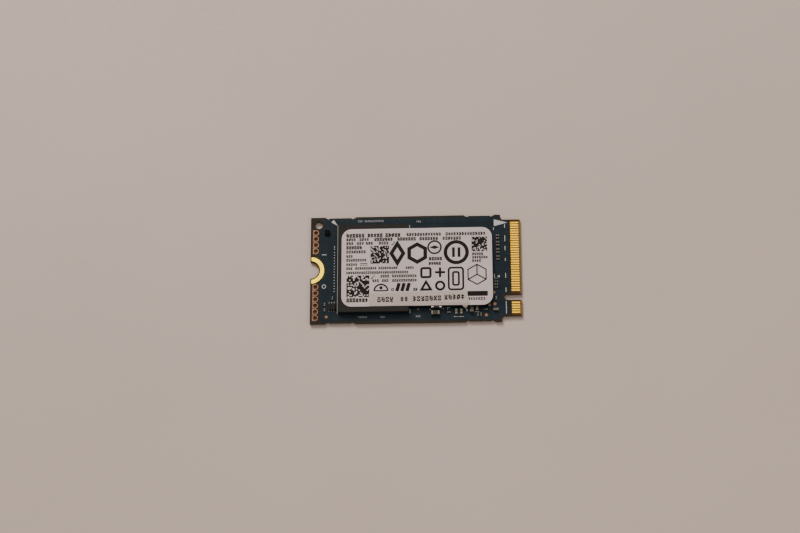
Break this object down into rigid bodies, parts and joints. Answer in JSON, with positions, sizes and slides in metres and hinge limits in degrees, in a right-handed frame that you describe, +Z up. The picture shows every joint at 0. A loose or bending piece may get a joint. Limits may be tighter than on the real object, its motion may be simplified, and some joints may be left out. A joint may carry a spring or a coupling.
{
  "type": "solid state drive",
  "caption": "Bare solid state drive: a small circuit board with an edge connector, memory and controller chips under a paper label, and a half-round screw notch.",
  "frame": {"origin": "centre of the board's footprint, on its bare underside", "axes": "+X along the board towards the edge connector, +Y across it, +Z up, out of the face that carries the parts"},
  "size_m": [0.042, 0.022, 0.0022],
  "materials": {
    "laminate": "bare glass-epoxy laminate, satin",
    "solder_mask": "dark blue-green solder mask, semi-gloss",
    "gold": "hard gold plating, bright",
    "copper": "treated bare copper, satin",
    "mould": "black moulding compound, fine matte",
    "substrate": "package substrate, satin",
    "silicon": "polished silicon",
    "film": "die attach film",
    "solder": "reflowed tin solder, bright",
    "tin": "tin plated end caps, satin",
    "ceramic_brown": "fired capacitor ceramic, dull",
    "ceramic_tan": "fired capacitor ceramic, dull",
    "ceramic_dark": "ferrite, dull",
    "alumina": "white alumina",
    "inductor_body": "pressed metal powder, dull",
    "steel_lid": "plated lid, satin",
    "label_paper": "printed polyester label, satin",
    "sticker_paper": "printed paper sticker, matte",
    "ink": "black print",
    "legend": "white legend ink"
  },
  "bodies": {
    "root": {"laminate_core": "laminate", "laminate_upper": "laminate", "laminate_lower": "laminate", "ground_plane": "copper", "power_plane": "copper", "solder_mask_top": "solder_mask", "solder_mask_bottom": "solder_mask", "contacts_top": "gold", "contacts_bottom": "gold", "screw_pads": "gold", "ring_hole_plating": "copper", "test_pads_top": "copper", "test_pads_bottom": "copper", "flash_substrate": "substrate", "flash_mould": "mould", "flash_dies": "silicon", "flash_die_films": "film", "flash_solder_balls": "solder", "controller_substrate": "substrate", "controller_mould": "mould", "controller_die": "silicon", "controller_solder_balls": "solder", "power_chip_body": "mould", "power_chip_leads": "tin", "inductor_bodies": "inductor_body", "inductor_terminals": "tin", "crystal_base": "ceramic_tan", "crystal_lid": "steel_lid", "six_lead_chip_body": "mould", "six_lead_chip_leads": "tin", "square_chip_body": "mould", "square_chip_pads": "tin", "ferrite_bead_body": "ceramic_dark", "ferrite_bead_terminals": "tin", "capacitor_0805_body": "ceramic_brown", "capacitor_0805_terminals": "tin", "capacitor_0603_bodies": "ceramic_tan", "capacitor_0603_terminals": "tin", "capacitor_0402_bodies": "ceramic_tan", "capacitor_0402_terminals": "tin", "capacitor_0201_bodies": "ceramic_brown", "capacitor_0201_terminals": "tin", "resistor_0201_bodies": "alumina", "resistor_0201_coats": "mould", "resistor_0201_terminals": "tin", "solder_joints": "solder", "main_label": "label_paper", "second_sticker": "sticker_paper"}
  },
  "joints": []
}
